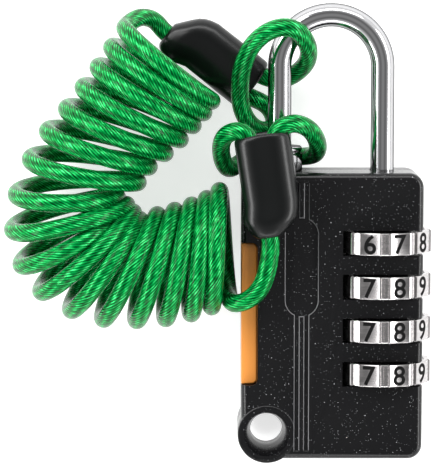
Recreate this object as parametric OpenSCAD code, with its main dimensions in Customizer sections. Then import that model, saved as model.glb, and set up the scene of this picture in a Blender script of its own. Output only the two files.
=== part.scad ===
// Cable luggage lock: combination padlock with four dials and a coiled tether.
// Lies on its back on z = 0, front up, shackle toward +Y. All sizes in mm.

/* [Body] */
// Width of the body
body_w = 31; // [24:0.1:40]
// Height of the body
body_h = 49.2; // [38:0.1:60]
// Thickness of the body
body_t = 13.5; // [11:0.1:16]
// Corner radius of the body outline
body_r = 2.5; // [1.5:0.1:4]
// Rounding of the front edge
front_edge = 1.2; // [0.4:0.1:2]
// Rounding of the back edge
back_edge = 0.8; // [0.4:0.1:2]
// Thickness of the back cover
cover_t = 5; // [3:0.1:6]

/* [Lanyard lug] */
// Distance of the lug centre from the left and bottom edges
lug_in = 4.4; // [4:0.1:6]
// Outer radius of the lug
lug_r = 5; // [4:0.1:7]
// Radius of the hole
lug_hole_r = 2.8; // [1.5:0.1:3.5]
// Radius of the countersinks at the faces
lug_sink_r = 3.8; // [3:0.1:4.5]
// Depth of the countersink at each end
lug_sink_depth = 4.8; // [1:0.1:5]
// How far the lug stands proud of the front face
lug_rise = 0.15; // [0:0.05:0.5]

/* [Front decoration] */
// Distance of the panel centre line from the left edge
panel_u = 10.3; // [8:0.1:14]
// Width of the pill-shaped panel
panel_w = 5.5; // [3:0.1:8]
// Bottom of the panel above the bottom edge
panel_v0 = 24.8; // [18:0.1:30]
// Top of the panel above the bottom edge
panel_v1 = 41.6; // [34:0.1:46]
// Depth of panel and grooves
panel_depth = 0.25; // [0.1:0.05:0.6]
// Width of each groove
groove_w = 0.7; // [0.3:0.1:1.2]
// Distance of a groove from the panel centre line
groove_off = 0.82; // [0.6:0.01:2]

/* [Shackle] */
// Radius of the rod
rod_r = 2; // [1.5:0.1:3]
// Short leg from the left edge
short_u = 6.6; // [5:0.1:8]
// Long leg from the left edge
long_u = 24.2; // [20:0.1:26]
// Top of the arch above the bottom edge
arch_top = 77.8; // [66:0.1:95]
// How far the short leg reaches into the body
short_in = 6.2; // [4:0.1:8]
// Foot of the long leg above the bottom edge
long_foot = 8.8; // [6:0.1:12]
// Depth of the latch notch
notch_depth = 0.5; // [0.3:0.05:0.8]
// Travel of the shackle when it opens
lift = 9.6; // [6:0.1:9.6]

/* [Collar] */
// Outer radius of the collar round the short leg
collar_r = 3.9; // [3:0.05:5]
// Height of the collar above the body
collar_h = 4.3; // [2:0.1:5]
// Radius of the stub that sits in the body
stub_r = 2.9; // [2.4:0.1:3.4]
// Running gap round the rod
rod_gap = 0.06; // [0.02:0.01:0.1]

/* [Dials] */
// Radius of a dial
dial_r = 8.55; // [7:0.05:9]
// How far the dials stand out of the back face
dial_back = 1.35; // [0.8:0.05:2]
// Width of a dial
dial_w = 3.8; // [3:0.1:5]
// Centre of the lowest dial above the bottom edge
dial_v0 = 14.8; // [12:0.1:18]
// Distance between dials
dial_pitch = 7.5; // [6:0.1:9]
// Number of digits on a dial
digits = 10; // [6:1:12]
// Width of the groove between two digits
tooth_gap = 1.3; // [0.6:0.1:2]
// Depth of the groove between two digits
tooth_depth = 0.4; // [0.2:0.05:0.8]
// Angle of the grooves from straight up, toward +X
tooth_phase = 1; // [-18:1:18]
// Height of a dial window
window_h = 4.3; // [3.4:0.1:5.5]
// Start of the dial windows from the left edge
window_u = 17.3; // [16:0.1:19]
// Gap behind the dial inside the body
window_gap = 0.25; // [0.1:0.05:0.5]

/* [Hubs and pins] */
// Outer radius of a hub
hub_r = 4.6; // [4:0.1:5.5]
// Inner radius of a hub's bearing rim
rim_r = 3.7; // [3.2:0.1:4.2]
// How far a rim stands out of the dial on each side
rim_len = 0.75; // [0.4:0.05:1]
// Running gap round a rim
rim_gap = 0.05; // [0.02:0.01:0.1]
// Radius of a code pin
pin_r = 0.55; // [0.4:0.05:0.8]
// Reach of a code pin from the leg's centre line
pin_reach = 3.5; // [3:0.1:3.6]
// Width of a hub's slot
slot_w = 1.5; // [1.3:0.05:2]

/* [Release bar] */
// Width of the bar seen from the front
bar_w = 2.75; // [2:0.05:4]
// Bottom of the bar above the bottom edge
bar_v0 = 13; // [11:0.1:16]
// Top of the bar above the bottom edge
bar_v1 = 37.3; // [32:0.1:40]
// How far the bar lies below the front face
bar_sink = 1; // [1:0.1:2]
// Gap round the bar
bar_gap = 0.1; // [0.05:0.01:0.2]
// Travel of the bar
bar_travel = 1.5; // [1:0.1:1.5]
// Thickness of the bar's flange and of the latch plate
plate_t = 1; // [0.8:0.1:1.2]

/* [Cable] */
// Radius of the cable
cable_r = 1.55; // [1.2:0.05:1.6]
// Outer radius of the coil
coil_r = 11.15; // [8:0.05:14]
// Length of a sleeve
sleeve_len = 17; // [12:0.5:24]
// Half width of a sleeve
sleeve_a = 4.75; // [4:0.05:6]
// Half thickness of a sleeve
sleeve_b = 3.25; // [2.8:0.05:4]
// Length of a crimped ferrule
ferrule_len = 8; // [6:0.5:9]

/* [Hidden] */
$fn = 96;
eps = 0.02;

// Frame: left-bottom corner of the body in the shared frame
org_x = -(long_u + dial_r + lug_in - lug_r) / 2;
org_y = -(arch_top + lug_in - lug_r) / 2;
org = [org_x, org_y, 0];
axis_z = dial_r;                        // height of dials and shackle
back_z = dial_back;                     // back face
seam_z = back_z + cover_t;
front_z = back_z + body_t;              // front face
bar_z = front_z - bar_sink;             // top of the release bar
arch_r = (long_u - short_u) / 2;
arch_u = (long_u + short_u) / 2;
arch_v = arch_top - arch_r - rod_r;
short_end = body_h - short_in;
dial_top = dial_v0 + 3 * dial_pitch;
pin_drop = 4.95;                        // pin centre below its dial's centre
rivets = [[11.5, 6], [28.8, 6], [28.8, 45.6], [13.9, 45.4]];
rivet_r = 1;
rivet_head_r = 1.7;
rivet_head = 0.5;
rivet_top = 10;
flange_u = bar_w + plate_t;
hook_v0 = body_h - 2.8;                 // latch hook, lower and upper side
hook_v1 = body_h - 1.8;
hook_u = short_u + rod_r - notch_depth + 0.15;
leaf_u = long_u - dial_r - 2;           // leaf whose fingers end just short of the dials
latch_z = axis_z + 2.4;                 // underside of the latch plate
latch_h = bar_z - 0.25 - latch_z;
spring_foot = 1.8;

// ---- helpers -------------------------------------------------------------

// Body outline; the lug fills the open corner at the lower left
module outline(inset) {
    w = body_w - inset;
    h = body_h - inset;
    r = body_r - inset;
    translate([inset, lug_in]) square([w - inset, body_h - body_r - lug_in]);
    translate([lug_in, inset]) square([body_w - body_r - lug_in, lug_in - inset]);
    translate([body_w - body_r - eps, body_r]) square([r + eps, lug_in - body_r + eps]);
    translate([body_r, body_h - body_r - eps]) square([body_w - 2 * body_r, r + eps]);
    translate([body_r, body_h - body_r]) circle(r = r);
    translate([body_w - body_r, body_h - body_r]) circle(r = r);
    translate([body_w - body_r, body_r]) circle(r = r);
}

// Rounded corner of the edge fillet
module corner_ring(u, v, rf) {
    translate([u, v, 0]) rotate_extrude() translate([body_r - rf, 0]) circle(r = rf);
}

// Slab with the body outline from z = 0 to h, upper edge rounded by rf
module slab(h, rf) {
    linear_extrude(height = h - rf) outline(0);
    linear_extrude(height = h) outline(rf);
    translate([0, 0, h - rf]) {
        translate([rf, lug_in, 0]) rotate([-90, 0, 0]) cylinder(r = rf, h = body_h - body_r - lug_in);
        translate([body_w - rf, body_r, 0]) rotate([-90, 0, 0]) cylinder(r = rf, h = body_h - 2 * body_r);
        translate([lug_in, rf, 0]) rotate([0, 90, 0]) cylinder(r = rf, h = body_w - body_r - lug_in);
        translate([body_r, body_h - rf, 0]) rotate([0, 90, 0]) cylinder(r = rf, h = body_w - 2 * body_r);
        corner_ring(body_r, body_h - body_r, rf);
        corner_ring(body_w - body_r, body_h - body_r, rf);
        corner_ring(body_w - body_r, body_r, rf);
    }
}

// Round bore along +Y from v0 to v1 about the shackle height
module bore(u, v0, v1, r) {
    translate([u, v0, axis_z]) rotate([-90, 0, 0]) cylinder(r = r, h = v1 - v0);
}

// Bore whose sides run straight down to the seam, so that parts drop in
module open_bore(u, v0, v1, r) {
    bore(u, v0, v1, r);
    translate([u - r, v0, seam_z - 1]) cube([2 * r, v1 - v0, axis_z - seam_z + 1]);
}

// One dial window with its round inner end
module dial_window(v) {
    translate([window_u, v - window_h / 2, -1]) cube([body_w, window_h, front_z + 3]);
    bore(long_u, v - window_h / 2, v + window_h / 2, dial_r + window_gap);
}

// Space for the two legs, the hubs, the pins and the collar's stub
module leg_space(in_front) {
    r = rod_r + rod_gap;
    spans = [[long_u, spring_foot, long_foot, r + 0.2], [long_u, long_foot, 12.05, rim_r],
             [long_u, 12.05, 40.05, hub_r + rim_gap], [long_u, 40.05, 42.7, rim_r],
             [long_u, 42.7, body_h + 1, r], [short_u, short_end - 0.3, body_h + 1, r],
             [short_u, body_h - 1.5, body_h + 1, stub_r]];
    for (s = spans)
        if (in_front) open_bore(s[0], s[1], s[2], s[3]);
        else bore(s[0], s[1], s[2], s[3]);
}

// Hole of the lug with a countersink at each end
module lug_hole() {
    grow = (lug_sink_r - lug_hole_r) / lug_sink_depth;
    translate([lug_in, lug_in, 0]) {
        cylinder(r = lug_hole_r, h = 20);
        translate([0, 0, front_z + lug_rise - lug_sink_depth])
            cylinder(r1 = lug_hole_r, r2 = lug_sink_r + grow, h = lug_sink_depth + 1);
        translate([0, 0, back_z - 1]) cylinder(r1 = lug_sink_r + grow, r2 = lug_hole_r, h = lug_sink_depth + 1);
    }
}

// ---- case ----------------------------------------------------------------

module front_shell() {
    color([0.03, 0.03, 0.035]) translate(org) difference() {
        union() {
            translate([0, 0, seam_z]) slab(front_z - seam_z, front_edge);
            translate([lug_in, lug_in, seam_z]) cylinder(r = lug_r, h = front_z + lug_rise - seam_z - 0.3);
            translate([lug_in, lug_in, front_z + lug_rise - 0.3]) cylinder(r1 = lug_r, r2 = lug_r - 0.3, h = 0.3);
        }
        lug_hole();
        for (k = [0:3]) dial_window(dial_v0 + k * dial_pitch);
        leg_space(true);
        decoration();
        bar_space();
        translate([leaf_u, 10, seam_z - 1]) cube([1.8, 32, 6.65]);
        for (p = rivets) translate([p[0], p[1], 0]) cylinder(r = rivet_r, h = rivet_top);
    }
}

// Pill panel and the two grooves above and below it
module decoration() {
    r = panel_w / 2;
    translate([panel_u, 0, front_z - panel_depth]) {
        translate([-r, panel_v0 + r, 0]) cube([panel_w, panel_v1 - panel_v0 - panel_w, 1]);
        translate([0, panel_v0 + r, 0]) cylinder(r = r, h = 1);
        translate([0, panel_v1 - r, 0]) cylinder(r = r, h = 1);
        for (s = [-1, 1]) {
            translate([s * groove_off - groove_w / 2, 1.6, 0]) cube([groove_w, panel_v0 - 1, 1]);
            translate([s * groove_off - groove_w / 2, panel_v1 - 0.6, 0])
                cube([groove_w, body_h - panel_v1 - 1, 1]);
        }
    }
}

// Opening of the release bar and the room behind it
module bar_space() {
    w = bar_w + bar_gap;
    r = 1;
    translate([-1, bar_v0 - bar_gap, seam_z - 1])
        cube([bar_w + 1, bar_v1 - bar_v0 + 2 * bar_gap, bar_z + bar_gap - seam_z + 1]);
    translate([-1, bar_v0 - bar_gap, bar_z]) {
        cube([w + 1 - r, bar_v1 - bar_v0 + 2 * bar_gap, 12]);
        translate([0, r, 0]) cube([w + 1, bar_v1 - bar_v0 + 2 * bar_gap - 2 * r, 12]);
        translate([w + 1 - r, r, 0]) cylinder(r = r, h = 12);
        translate([w + 1 - r, bar_v1 - bar_v0 + 2 * bar_gap - r, 0]) cylinder(r = r, h = 12);
    }
    room_u = flange_u + plate_t + bar_travel + 0.2;
    translate([bar_w - bar_gap, bar_v0 - 1.1, seam_z - 1])
        cube([room_u - bar_w + bar_gap, bar_v1 - bar_v0 + 2.2, bar_z + bar_gap - seam_z + 1]);
    translate([flange_u - 0.15, bar_v1, latch_z - 0.2])
        cube([room_u - flange_u + 0.15, hook_v1 + 0.1 - bar_v1, latch_h + 0.35]);
    translate([flange_u - 0.15, hook_v0 - 0.1, seam_z - 1])
        cube([10.2 + bar_travel + 0.2 - flange_u + 0.15, hook_v1 - hook_v0 + 0.2, bar_z - 0.1 - seam_z + 1]);
    for (v = [17, 33]) translate([room_u - eps, v, 8.4]) rotate([0, 90, 0]) cylinder(r = 1.2, h = 9 - room_u);
}

module back_cover() {
    color([0.04, 0.04, 0.045]) translate(org) difference() {
        union() {
            translate([0, 0, seam_z]) mirror([0, 0, 1]) slab(cover_t, back_edge);
            translate([lug_in, lug_in, back_z + 0.3]) cylinder(r = lug_r, h = cover_t - 0.3);
            translate([lug_in, lug_in, back_z]) cylinder(r1 = lug_r - 0.3, r2 = lug_r, h = 0.3);
        }
        lug_hole();
        for (k = [0:3]) dial_window(dial_v0 + k * dial_pitch);
        leg_space(false);
        for (p = rivets) {
            translate([p[0], p[1], 0]) cylinder(r = rivet_r, h = 20);
            translate([p[0], p[1], 0]) cylinder(r = rivet_head_r, h = back_z + rivet_head);
        }
    }
}

module cover_rivets() {
    color([0.6, 0.6, 0.62]) translate(org) for (p = rivets) translate([p[0], p[1], back_z]) {
        cylinder(r = rivet_head_r, h = rivet_head);
        cylinder(r = rivet_r, h = rivet_top - back_z);
    }
}

module shackle_collar() {
    r = rod_r + rod_gap;
    color([0.75, 0.75, 0.77]) translate(org) translate([short_u, 0, axis_z]) rotate([-90, 0, 0])
        rotate_extrude() polygon([
            [r, body_h - 1.5], [stub_r, body_h - 1.5], [stub_r, body_h], [collar_r, body_h],
            [collar_r, body_h + collar_h - 1.2], [collar_r - 0.25, body_h + collar_h - 1.05],
            [collar_r - 0.25, body_h + collar_h - 0.85], [collar_r, body_h + collar_h - 0.7],
            [collar_r, body_h + collar_h - 0.3], [collar_r - 0.3, body_h + collar_h],
            [r, body_h + collar_h]]);
}

// Leaf with one finger beside each dial
module detent_leaf() {
    color([0.7, 0.7, 0.7]) translate(org) {
        translate([leaf_u, 10.2, seam_z]) cube([0.5, 31.6, 5.4]);
        for (k = [0:3]) translate([leaf_u + 0.5, dial_v0 + k * dial_pitch, axis_z]) {
            translate([-eps, -1, -0.6]) cube([0.8 + eps, 2, 1.2]);
            translate([0.8, -1, 0]) rotate([-90, 0, 0]) cylinder(r = 0.6, h = 2);
        }
    }
}

// ---- shackle -------------------------------------------------------------

module shackle() {
    color([0.8, 0.8, 0.82]) translate(org) difference() {
        union() {
            bore(short_u, short_end + 0.4, arch_v, rod_r);
            translate([short_u, short_end, axis_z]) rotate([-90, 0, 0])
                cylinder(r1 = rod_r - 0.4, r2 = rod_r, h = 0.4);
            bore(long_u, long_foot, arch_v, rod_r);
            translate([arch_u, arch_v, axis_z]) rotate_extrude(angle = 180)
                translate([arch_r, 0]) circle(r = rod_r);
        }
        translate([short_u + rod_r - notch_depth, body_h - 5.5, axis_z - 3]) cube([2, 3.8, 6]);
        pins();
    }
}

module pins() {
    for (k = [0:3]) translate([long_u, dial_v0 + k * dial_pitch - pin_drop, axis_z + 0.6])
        cylinder(r = pin_r, h = pin_reach - 0.6);
}

module code_pins() {
    color([0.72, 0.72, 0.72]) translate(org) pins();
}

// ---- springs -------------------------------------------------------------

// Wire round a list of points; frame vectors are given by the caller
function ring_pts(c, a, b, r, n) = [for (i = [0:n - 1]) c + r * cos(360 * i / n) * a + r * sin(360 * i / n) * b];
function tube_faces(m, n) = concat(
    [[for (i = [0:n - 1]) i]],
    [for (k = [0:m - 2]) for (i = [0:n - 1]) [k * n + i, (k + 1) * n + i, (k + 1) * n + (i + 1) % n]],
    [for (k = [0:m - 2]) for (i = [0:n - 1]) [k * n + i, (k + 1) * n + (i + 1) % n, k * n + (i + 1) % n]],
    [[for (i = [n - 1:-1:0]) (m - 1) * n + i]]);

// Helix along +Z from the origin
module coil_spring(r, wire, len, turns) {
    m = 8 * turns + 1;
    pts = [for (k = [0:m - 1]) for (p = ring_pts(
        [r * cos(45 * k), r * sin(45 * k), wire + (len - 2 * wire) * k / (m - 1)],
        [cos(45 * k), sin(45 * k), 0], [0, 0, 1], wire, 6)) p];
    polyhedron(points = pts, faces = tube_faces(m, 6), convexity = 6);
}

module shackle_spring() {
    color([0.65, 0.65, 0.66]) translate(org) translate([long_u, spring_foot, axis_z]) rotate([-90, 0, 0])
        coil_spring(1.5, 0.25, long_foot - spring_foot, 6);
}

module bar_springs() {
    color([0.65, 0.65, 0.66]) translate(org) for (v = [17, 33]) translate([flange_u, v, 8.4])
        rotate([0, 90, 0]) coil_spring(0.8, 0.18, 9 - flange_u, 5);
}

// ---- release bar ---------------------------------------------------------

module release_bar() {
    z0 = seam_z + 0.1;
    h = bar_z - z0;
    r = 0.9;
    color([0.9, 0.45, 0.12]) translate(org) translate([0, bar_v0, z0]) {
        translate([0, 0, 0]) cube([bar_w - r, bar_v1 - bar_v0, h]);
        translate([0, r, 0]) cube([bar_w, bar_v1 - bar_v0 - 2 * r, h]);
        translate([bar_w - r, r, 0]) cylinder(r = r, h = h);
        translate([bar_w - r, bar_v1 - bar_v0 - r, 0]) cylinder(r = r, h = h);
        translate([bar_w - eps, -1, 0]) cube([plate_t + eps, bar_v1 - bar_v0 + 2, h]);
    }
}

module latch_plate() {
    color([0.55, 0.55, 0.56]) translate(org) {
        translate([flange_u, bar_v0 + 1, latch_z]) cube([plate_t, hook_v1 - bar_v0 - 1, latch_h]);
        translate([flange_u, hook_v0, latch_z]) cube([10.2 - flange_u, hook_v1 - hook_v0, latch_h]);
        translate([hook_u, hook_v0, axis_z - 1.5]) cube([10.2 - hook_u, hook_v1 - hook_v0, 4]);
    }
}

// ---- dials ---------------------------------------------------------------

module dial(k) {
    v = dial_top - (k - 1) * dial_pitch;
    color([0.7, 0.7, 0.7]) translate(org) difference() {
        bore(long_u, v - dial_w / 2, v + dial_w / 2, dial_r);
        bore(long_u, v - dial_w, v + dial_w, hub_r);
        for (i = [0:digits - 1]) translate([long_u, v, axis_z]) rotate([0, tooth_phase + i * 360 / digits, 0])
            translate([-tooth_gap / 2, -dial_w, dial_r - tooth_depth]) cube([tooth_gap, 2 * dial_w, 2]);
    }
}

module hub(k) {
    v = dial_top - (k - 1) * dial_pitch;
    color([0.6, 0.6, 0.6]) translate(org) difference() {
        bore(long_u, v - dial_w / 2 - rim_len, v + dial_w / 2 + rim_len, hub_r);
        bore(long_u, v - dial_w, v + dial_w, rod_r + 0.1);
        bore(long_u, v + dial_w / 2, v + dial_w, rim_r);
        bore(long_u, v - dial_w, v - dial_w / 2, rim_r);
        translate([long_u - slot_w / 2, v - dial_w, axis_z]) cube([slot_w, 2 * dial_w, pin_reach + 0.15]);
    }
}

module dial_1() dial(1);
module dial_2() dial(2);
module dial_3() dial(3);
module dial_4() dial(4);
module hub_1() hub(1);
module hub_2() hub(2);
module hub_3() hub(3);
module hub_4() hub(4);

// ---- tether --------------------------------------------------------------

// Frame of a sleeve: origin in the middle of its mouth, +X toward the coil; the cable leaves lean off the middle
front_mouth = [3.4, 55.8, 18.15];
front_turn = -81.5;
front_lean = -1.1;
rear_mouth = [1.9, 63.6, 3.35];
rear_turn = 141.5;
rear_lean = 2.2;
strand = 1.7;                           // strands lie side by side this far off the middle
spread = 2.15;                          // and this far at the mouth
ferrule_in = 2.5;                       // ferrule starts this far inside the mouth
ferrule_a = 3.8;
ferrule_b = 2.25;

// Oval section as a thin slab standing across X, moved y sideways
module oval(x, y, a, b) {
    translate([x, y, 0]) rotate([0, 90, 0]) linear_extrude(height = 0.1) {
        translate([-b, -(a - b)]) square([2 * b, 2 * (a - b)]);
        translate([0, a - b]) circle(r = b, $fn = 32);
        translate([0, b - a]) circle(r = b, $fn = 32);
    }
}

module sleeve_body(lean) {
    ferrule_end = ferrule_in + ferrule_len;
    difference() {
        hull() {
            oval(0, 0, sleeve_a - 0.4, sleeve_b - 0.4);
            oval(0.5, 0, sleeve_a, sleeve_b);
            oval(sleeve_len - 3.4, lean * 0.2, sleeve_a - 0.1, sleeve_b - 0.1);
            oval(sleeve_len - 1.5, lean * 0.8, 3.6, 2.8);
            oval(sleeve_len - 0.1, lean, 2.2, 2);
        }
        translate([-1, 0, 0]) oval_bore(ferrule_end + 1, ferrule_a, ferrule_b);
        hull() {
            oval(ferrule_end - 0.1, 0, 3.5, 1.7);
            oval(sleeve_len - 2, lean, 1.75, 1.7);
        }
        translate([sleeve_len - 3, lean, 0]) rotate([0, 90, 0]) cylinder(r = cable_r + 0.05, h = 4);
    }
}

// Oval prism of length h along X
module oval_bore(h, a, b) {
    rotate([0, 90, 0]) {
        translate([-b, -(a - b), 0]) cube([2 * b, 2 * (a - b), h]);
        for (s = [-1, 1]) translate([0, s * (a - b), 0]) cylinder(r = b, h = h);
    }
}

module ferrule_body() {
    difference() {
        translate([ferrule_in, 0, 0]) oval_bore(ferrule_len, ferrule_a, ferrule_b);
        for (s = [-1, 1]) translate([0, s * strand, 0]) rotate([0, 90, 0]) cylinder(r = cable_r + 0.05, h = 20);
    }
}

module place(mouth, turn) {
    translate([org_x + mouth[0], org_y + mouth[1], mouth[2]]) rotate([0, 0, turn]) children();
}

module sleeve_front() { color([0.03, 0.03, 0.03]) place(front_mouth, front_turn) sleeve_body(front_lean); }
module sleeve_rear() { color([0.03, 0.03, 0.03]) place(rear_mouth, rear_turn) sleeve_body(rear_lean); }
module ferrule_front() { color([0.7, 0.7, 0.72]) place(front_mouth, front_turn) ferrule_body(); }
module ferrule_rear() { color([0.7, 0.7, 0.72]) place(rear_mouth, rear_turn) ferrule_body(); }

// Points of a strand inside its sleeve: x along the sleeve, y across it
function in_sleeve(m, turn, x, y) = [m[0] + x * cos(turn) - y * sin(turn), m[1] + x * sin(turn) + y * cos(turn), m[2]];
function strand_in(m, turn, s) = [in_sleeve(m, turn, 9.6, s * strand), in_sleeve(m, turn, 6, s * strand),
                                  in_sleeve(m, turn, 2.8, s * strand), in_sleeve(m, turn, 0.4, s * spread)];
function strand_out(m, turn, s, lean) = [
    in_sleeve(m, turn, 0.4, s * spread), in_sleeve(m, turn, 2.8, s * strand), in_sleeve(m, turn, 6, s * strand),
    in_sleeve(m, turn, 10, s * strand), in_sleeve(m, turn, 14, (s * strand + lean) / 2),
    in_sleeve(m, turn, sleeve_len, lean), in_sleeve(m, turn, sleeve_len + 1, lean)];

// Loop round the short leg just above the body, then the tail to the coil
front_loop = [[7, 57.5, 18], [9.1, 57.9, 17.3], [11.3, 56.9, 15.4], [12.7, 55, 12.2], [13.2, 53, 8.6],
              [12.6, 51.6, 4.9], [10.6, 51.1, 2.5], [7.6, 51, 1.9], [3.8, 51, 2], [1.2, 50.8, 2.7],
              [-0.5, 49.9, 4], [-1.9, 49.2, 6], [-2.9, 50.3, 8.6], [-3.4, 52.4, 11.4], [-3.3, 54.5, 14.2],
              [-2.4, 56, 16.6], [-0.8, 56.7, 17.9], [0.6, 56.3, 18.2]];
front_tail = [[4.6, 34.2, 18.15], [3.4, 30.4, 18.15], [1.1, 28, 18], [-1.1, 27.3, 16.8]];
// Loop round the bend of the shackle, then the tail to the coil
rear_loop = [[6.2, 64.4, 2.6], [9.2, 65.4, 3.8], [11.4, 68, 7], [11.1, 71.2, 11.2], [8.7, 73.7, 14],
             [5.2, 73.5, 14.6], [2, 71, 13.6], [0.2, 67, 11.6], [-0.2, 62.6, 9], [0.1, 59.8, 8], [1.2, 57.5, 7],
             [2.8, 56.1, 6], [4.6, 55.8, 4.8], [5.8, 56.7, 3.2], [5.6, 58.5, 2], [4.1, 60.3, 1.9]];
rear_tail = [[-14.9, 74.8, 3.9], [-17.4, 75.3, 6.6]];

// Middle line of the coil, its stations the same number of turns apart: across, up and the turns' angle
coil_line = [[-12, 68, -37], [-15.5, 63, -28], [-20, 57.5, -21], [-25.5, 51.5, -11], [-29.5, 43.5, 8],
             [-28.5, 36.5, 34], [-22.5, 33, 59], [-14.5, 33, 76], [-7.5, 34.5, 86], [-2.3, 37, 92]];
coil_z = coil_r + 0.1;
coil_start = station(coil_line[0], 180, coil_r - cable_r);
coil_end = station(coil_line[9], 180, coil_r - cable_r);

function station(c, a, r) = [c[0] + r * cos(a) * cos(c[2]), c[1] + r * cos(a) * sin(c[2]), coil_z + r * sin(a)];
function unit(v) = v / norm(v);

// Round tube along a list of points, eight-sided
module tube(p) {
    m = len(p);
    dirs = [for (i = [0:m - 1]) unit(p[min(i + 1, m - 1)] - p[max(i - 1, 0)])];
    side = carry(dirs, [unit(cross(dirs[0], [0, 0, 1]))], 1);
    pts = [for (i = [0:m - 1]) for (q = ring_pts(p[i], side[i], cross(side[i], dirs[i]), cable_r, 8)) q];
    polyhedron(points = pts, faces = tube_faces(m, 8), convexity = 10);
}

// Side vectors carried along the tube without twist
function carry(dirs, done, i) = i == len(dirs) ? done
    : carry(dirs, concat(done, [unit(done[i - 1] - (done[i - 1] * dirs[i]) * dirs[i])]), i + 1);

module cable_front_end() {
    color([0.02, 0.5, 0.15]) translate(org) tube(concat(
        strand_in(front_mouth, front_turn, 1), front_loop, strand_out(front_mouth, front_turn, -1, front_lean),
        front_tail, [coil_end]));
}

module cable_rear_end() {
    color([0.02, 0.5, 0.15]) translate(org) tube(concat(
        strand_in(rear_mouth, rear_turn, -1), rear_loop, strand_out(rear_mouth, rear_turn, 1, rear_lean),
        rear_tail, [coil_start]));
}

// Closed turns of the coil as one curved sleeve with a wall one cable thick
module cable_coil() {
    n = 12;
    m = len(coil_line);
    radii = [coil_r, coil_r - 2 * cable_r];
    pts = [for (c = coil_line) for (r = radii) for (i = [0:n - 1]) station(c, 30 * i + 15, r / cos(15))];
    // Corner i of ring k, outer side for w = 0 and inner side for w = 1
    function at(k, w, i) = (2 * k + w) * n + i % n;
    skin = [for (k = [0:m - 2]) for (i = [0:n - 1]) for (t = [0, 1])
        [at(k, 0, i), at(k + 1, 0, i + t), t == 0 ? at(k + 1, 0, i + 1) : at(k, 0, i + 1)]];
    bore = [for (k = [0:m - 2]) for (i = [0:n - 1]) for (t = [0, 1])
        [at(k + 1, 1, i + t), at(k, 1, i), t == 0 ? at(k + 1, 1, i + 1) : at(k, 1, i + 1)]];
    first = [for (i = [0:n - 1]) [at(0, 0, i), at(0, 0, i + 1), at(0, 1, i + 1), at(0, 1, i)]];
    last = [for (i = [0:n - 1]) [at(m - 1, 0, i + 1), at(m - 1, 0, i), at(m - 1, 1, i), at(m - 1, 1, i + 1)]];
    color([0.02, 0.45, 0.14]) translate(org)
        polyhedron(points = pts, faces = concat(skin, bore, first, last), convexity = 8);
}

front_shell();
back_cover();
cover_rivets();
shackle_collar();
detent_leaf();
shackle();
code_pins();
shackle_spring();
release_bar();
latch_plate();
bar_springs();
dial_1();
dial_2();
dial_3();
dial_4();
hub_1();
hub_2();
hub_3();
hub_4();
sleeve_front();
ferrule_front();
sleeve_rear();
ferrule_rear();
cable_front_end();
cable_rear_end();
cable_coil();
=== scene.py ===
"""Looks of the cable luggage lock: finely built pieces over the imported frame."""

import math

import bmesh
import bpy
import numpy as np
from mathutils import Matrix, Vector


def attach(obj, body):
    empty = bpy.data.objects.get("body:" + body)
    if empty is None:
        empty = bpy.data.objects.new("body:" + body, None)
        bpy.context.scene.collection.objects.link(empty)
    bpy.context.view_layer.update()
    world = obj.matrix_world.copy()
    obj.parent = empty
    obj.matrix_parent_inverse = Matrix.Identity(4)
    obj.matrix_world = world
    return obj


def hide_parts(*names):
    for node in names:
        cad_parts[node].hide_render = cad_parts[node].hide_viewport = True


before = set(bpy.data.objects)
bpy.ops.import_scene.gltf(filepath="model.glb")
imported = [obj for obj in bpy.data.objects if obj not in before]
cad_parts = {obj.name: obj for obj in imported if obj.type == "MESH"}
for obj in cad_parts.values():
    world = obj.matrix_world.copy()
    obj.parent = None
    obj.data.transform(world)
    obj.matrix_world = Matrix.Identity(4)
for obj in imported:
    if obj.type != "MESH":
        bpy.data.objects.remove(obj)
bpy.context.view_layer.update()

# ---- sizes in mm, the same as in the frame --------------------------------------------------------
# u runs across from the body's left edge, v up from its lower edge, z up from the floor

MM = 0.001
BODY_W, BODY_H, BODY_T = 31.0, 49.2, 13.5
BODY_R, LUG_CORNER_R = 2.5, 5.6
FRONT_EDGE, BACK_EDGE = 1.2, 0.8
COVER_T = 5.0
RIVETS = [(11.5, 6), (28.8, 6), (28.8, 45.6), (13.9, 45.4)]
RIVET_HEAD_R, RIVET_HEAD = 1.7, 0.5

LUG, LUG_R, LUG_RISE = 4.4, 5.0, 0.15
LUG_HOLE_R, LUG_SINK = 2.8, 4.8
LUG_FLARES = (4.29, -1), (4.425, 18)  # (radius, height) outside the faces; 3.8 at both faces

PANEL_U, PANEL_W, PANEL_V = 10.3, 5.5, (24.8, 41.6)
PANEL_DEPTH, PANEL_CHAMFER = 0.25, 0.15
GROOVE_W, GROOVE_OFF, GROOVE_END = 0.7, 0.82, 1.6

ROD, LONG, SHORT = 2.0, 24.2, 6.6
ARCH_TOP, SHORT_IN, LONG_FOOT = 77.8, 6.2, 8.8
NOTCH, NOTCH_H = 0.5, 3.8
COLLAR_R, STUB_R, STUB = 3.9, 2.9, 1.5
ROD_GAP = 0.06

DIAL_R, DIAL_W, DIAL_BACK = 8.55, 3.8, 1.35
DIAL_V0, DIAL_PITCH, DIGITS = 14.8, 7.5, 10
WINDOW_U, WINDOW_H, WINDOW_GAP = 17.3, 4.3, 0.25
HUB_R, RIM_R, HUB_V = 4.6, 3.7, (12.05, 40.05)
FACE_AT = -17  # degrees from straight up to the first digit's face

BAR_W, BAR_V, BAR_SINK, BAR_GAP = 2.75, (13.0, 37.3), 1.0, 0.1
BAR_FLANGE, BAR_TRAVEL, BAR_SPRING_V = 1.0, 1.5, (17, 33)
HOOK_V, HOOK_U = (46.4, 47.4), 10.2

CABLE_R, STRAND = 1.55, 1.7

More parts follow.
